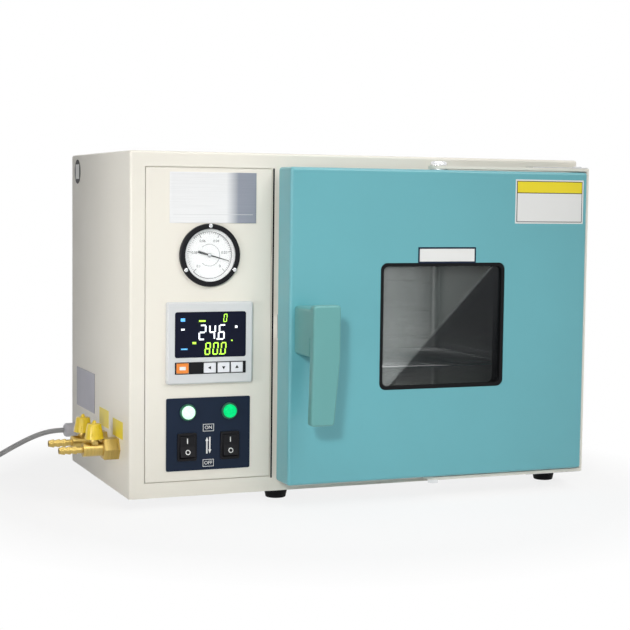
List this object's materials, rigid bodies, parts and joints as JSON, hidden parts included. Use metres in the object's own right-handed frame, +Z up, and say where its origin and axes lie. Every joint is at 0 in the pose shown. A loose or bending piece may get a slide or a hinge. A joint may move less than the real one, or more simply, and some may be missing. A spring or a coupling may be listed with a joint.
{
  "type": "vacuum oven",
  "caption": "Bench-top vacuum drying oven with a steel casing, side control column, swinging window door on a yoke, lever latch, gauge and two hose valves",
  "frame": {"origin": "middle of the footprint of the oven without its mains lead, on the bench plane", "axes": "+X to the right seen from the front, +Y to the back, +Z up"},
  "size_m": [0.8458, 0.5442, 0.444],
  "materials": {
    "cream_paint": "semi-gloss cream powder coat",
    "teal_paint": "semi-gloss teal enamel",
    "stainless": "brushed stainless steel",
    "plated_steel": "zinc plated steel",
    "bright_chrome": "bright chrome plate",
    "copper_tube": "drawn copper tube",
    "brass": "turned brass",
    "black_rubber": "matt black rubber",
    "silicone": "pale silicone rubber",
    "heater_silicone": "red-brown silicone heating mat",
    "mineral_wool": "mineral wool blanket",
    "toughened_glass": "toughened float glass",
    "clear_plastic": "clear plastic sheet",
    "dark_display": "smoked display window",
    "green_lens": "translucent green lens",
    "black_plastic": "matt black moulding",
    "silver_plastic": "silver-grey moulding",
    "grey_keys": "grey rubber-soft keys",
    "orange_key": "orange key",
    "navy_plate": "dark navy panel",
    "white_dial": "white enamelled dial",
    "green_plastic": "teal green moulded handle",
    "yellow_plastic": "yellow moulded knob",
    "white_nylon": "pale nylon",
    "grey_cord": "light grey lead sheath",
    "bronze": "sintered bronze"
  },
  "bodies": {
    "oven": {"casing_shell": "cream_paint", "base_pan": "plated_steel", "rear_cover": "cream_paint", "casing_screws": "plated_steel", "divider_wall": "plated_steel", "feet": "black_rubber", "control_panel": "cream_paint", "gauge_case": "plated_steel", "gauge_flange": "black_plastic", "gauge_dial": "white_dial", "gauge_glass": "clear_plastic", "gauge_screws": "bright_chrome", "controller_bezel": "silver_plastic", "controller_body": "black_plastic", "display_window": "dark_display", "switch_plate": "navy_plate", "lamp_bezels": "bright_chrome", "lamp_lenses": "green_lens", "rocker_frames": "black_plastic", "vacuum_chamber": "stainless", "chamber_gasket": "silicone", "temperature_probe": "stainless", "heater_mats": "heater_silicone", "insulation_blanket": "mineral_wool", "shelf_rails": "stainless", "latch_strike": "plated_steel", "hinge_brackets": "cream_paint", "hinge_pins": "plated_steel", "valve_bodies": "brass", "valve_nuts": "brass", "vacuum_tubes": "copper_tube", "cord_gland": "white_nylon", "mains_lead": "grey_cord", "lead_coil": "grey_cord", "mains_plug": "grey_cord"},
    "shelf": {"wire_shelf": "bright_chrome"},
    "yoke": {"hinge_yoke": "cream_paint", "yoke_doublers": "plated_steel"},
    "door": {"door_shell": "teal_paint", "door_liner": "cream_paint", "window_trim": "black_rubber", "window_pane": "clear_plastic", "door_glass": "toughened_glass", "glass_buffers": "black_rubber", "glass_clips": "plated_steel", "latch_bush": "bronze", "pivot_bolts": "bright_chrome", "pivot_washers": "plated_steel", "pivot_blocks": "plated_steel"},
    "latch": {"handle_lever": "green_plastic", "latch_shaft": "plated_steel"},
    "pointer": {"gauge_pointer": "black_plastic"},
    "set_key": {"key_set": "orange_key"},
    "shift_key": {"key_shift": "grey_keys"},
    "down_key": {"key_down": "grey_keys"},
    "up_key": {"key_up": "grey_keys"},
    "power_rocker": {"rocker_left": "black_plastic"},
    "heat_rocker": {"rocker_right": "black_plastic"},
    "vent_knob": {"valve_knob_vent": "yellow_plastic"},
    "pump_knob": {"valve_knob_pump": "yellow_plastic"}
  },
  "joints": [
    {"name": "yoke_swing", "type": "hinge", "parent": "oven", "child": "yoke", "pos_m": [0.3445, -0.10595, 0.228], "axis": [0, 0, 1], "range_deg": [0, 120]},
    {"name": "door_swivel", "type": "hinge", "parent": "yoke", "child": "door", "pos_m": [0.123, -0.12945, 0.228], "axis": [0, 0, 1], "range_deg": [-0.4, 0.4]},
    {"name": "latch_turn", "type": "hinge", "parent": "door", "child": "latch", "pos_m": [-0.061, -0.14975, 0.2255], "axis": [0, -1, 0], "range_deg": [0, 90]},
    {"name": "pointer_turn", "type": "hinge", "parent": "oven", "child": "pointer", "pos_m": [-0.1755, -0.09515, 0.316], "axis": [0, -1, 0], "range_deg": [-29, 240]},
    {"name": "shelf_slide", "type": "slide", "parent": "oven", "child": "shelf", "axis": [0, -1, 0], "range_m": [-0.018, 0.026]},
    {"name": "set_key_press", "type": "slide", "parent": "oven", "child": "set_key", "axis": [0, 1, 0], "range_m": [0, 0.0008], "stiffness_N_per_m": 400, "springref_m": -0.0005},
    {"name": "shift_key_press", "type": "slide", "parent": "oven", "child": "shift_key", "axis": [0, 1, 0], "range_m": [0, 0.0008], "stiffness_N_per_m": 400, "springref_m": -0.0005},
    {"name": "down_key_press", "type": "slide", "parent": "oven", "child": "down_key", "axis": [0, 1, 0], "range_m": [0, 0.0008], "stiffness_N_per_m": 400, "springref_m": -0.0005},
    {"name": "up_key_press", "type": "slide", "parent": "oven", "child": "up_key", "axis": [0, 1, 0], "range_m": [0, 0.0008], "stiffness_N_per_m": 400, "springref_m": -0.0005},
    {"name": "power_rocker_tip", "type": "hinge", "parent": "oven", "child": "power_rocker", "pos_m": [-0.2037, -0.09435, 0.0764], "axis": [1, 0, 0], "range_deg": [0, 18]},
    {"name": "heat_rocker_tip", "type": "hinge", "parent": "oven", "child": "heat_rocker", "pos_m": [-0.1473, -0.09435, 0.0764], "axis": [1, 0, 0], "range_deg": [0, 18]},
    {"name": "vent_knob_turn", "type": "hinge", "parent": "oven", "child": "vent_knob", "pos_m": [-0.3075, -0.03795, 0.0837], "axis": [0, 0, 1], "range_deg": [0, 720]},
    {"name": "pump_knob_turn", "type": "hinge", "parent": "oven", "child": "pump_knob", "pos_m": [-0.3075, 0.02205, 0.0837], "axis": [0, 0, 1], "range_deg": [0, 720]}
  ]
}
